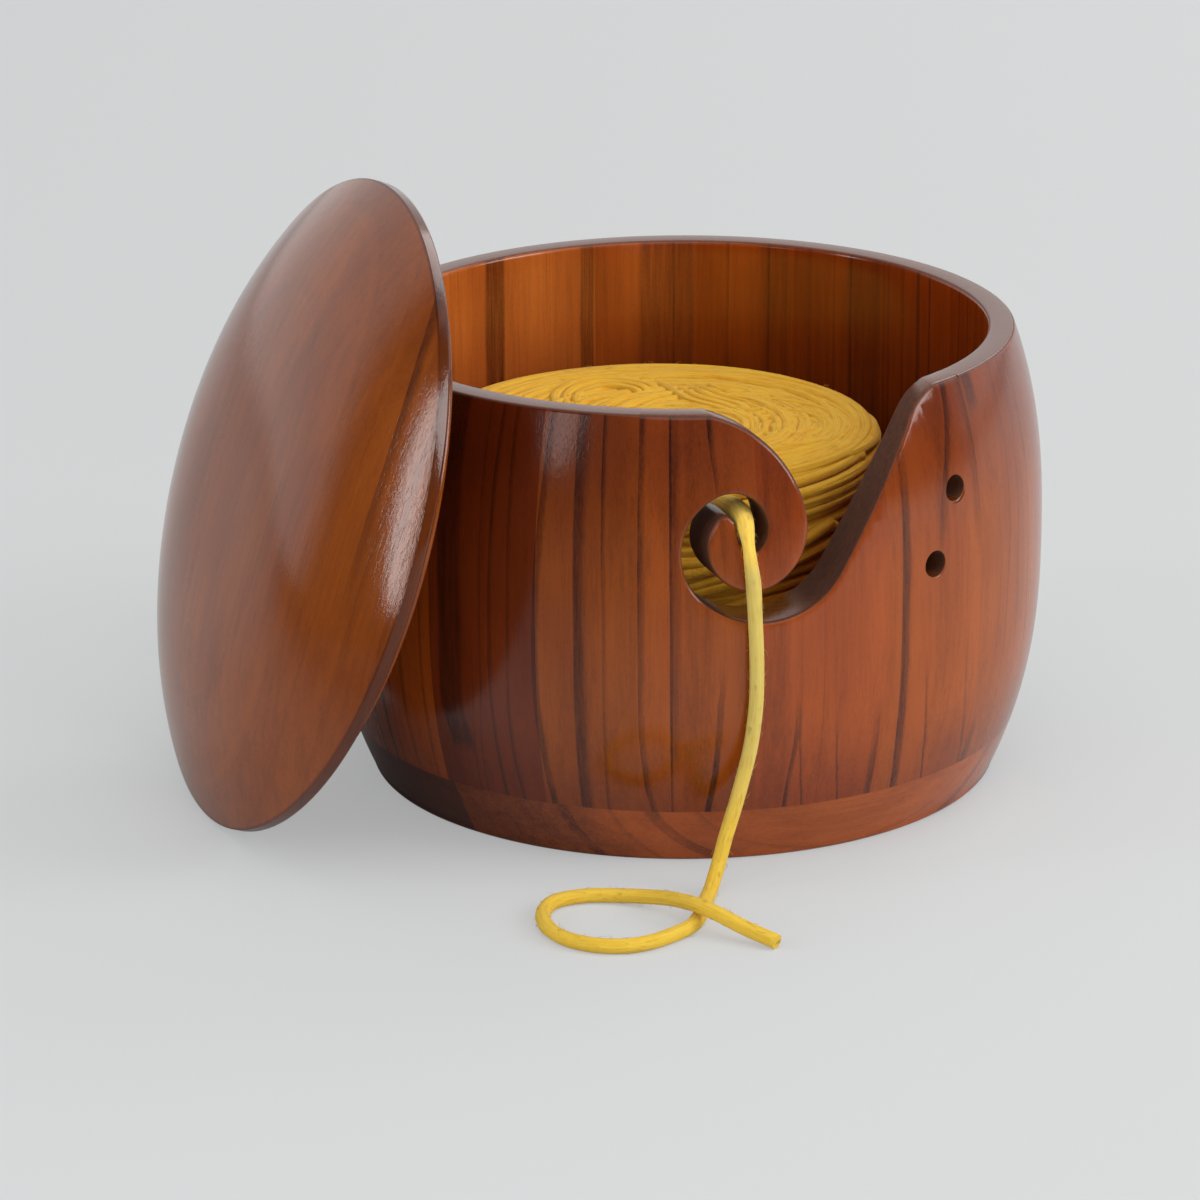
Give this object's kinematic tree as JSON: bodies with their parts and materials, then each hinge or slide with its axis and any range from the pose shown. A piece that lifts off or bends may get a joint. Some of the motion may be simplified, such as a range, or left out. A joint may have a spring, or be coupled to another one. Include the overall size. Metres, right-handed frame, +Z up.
{
  "type": "yarn dispenser box",
  "caption": "Round staved wooden yarn bowl with a spiral yarn slot, needle holes, a domed lid leaning against it and a cake of yarn threaded through the slot.",
  "frame": {"origin": "centre of the bowl's underside, on the table", "axes": "+Z up; -Y is the front, with the spiral slot 20 degrees towards +X; the lid leans on the -X side"},
  "size_m": [0.2233, 0.2292, 0.1544],
  "materials": {
    "stave_wood": "reddish brown stain under satin lacquer",
    "base_wood": "reddish brown stain under satin lacquer",
    "lid_wood": "reddish brown stain under satin lacquer",
    "yarn": "soft fuzzy knitted tube yarn"
  },
  "bodies": {
    "root": {"stave_01": "stave_wood", "stave_02": "stave_wood", "stave_03": "stave_wood", "stave_04": "stave_wood", "stave_05": "stave_wood", "stave_06": "stave_wood", "stave_07": "stave_wood", "stave_08": "stave_wood", "stave_09": "stave_wood", "stave_10": "stave_wood", "stave_11": "stave_wood", "stave_12": "stave_wood", "stave_13": "stave_wood", "stave_14": "stave_wood", "stave_15": "stave_wood", "stave_16": "stave_wood", "stave_17": "stave_wood", "stave_18": "stave_wood", "base_board_01": "base_wood", "base_board_02": "base_wood", "base_board_03": "base_wood", "yarn_tail": "yarn"},
    "lid": {"lid_board_01": "lid_wood", "lid_board_02": "lid_wood", "lid_board_03": "lid_wood", "lid_board_04": "lid_wood", "lid_board_05": "lid_wood"},
    "yarn_cake": {"yarn_core": "yarn", "yarn_winding": "yarn"}
  },
  "joints": [
    {"name": "lid_lift", "type": "slide", "parent": "root", "child": "lid", "axis": [0, 0, 1], "range_m": [0, 0.125]},
    {"name": "cake_spin", "type": "hinge", "parent": "root", "child": "yarn_cake", "pos_m": [-0.008, 0, 0.0148], "axis": [0, 0, 1], "continuous": true}
  ]
}
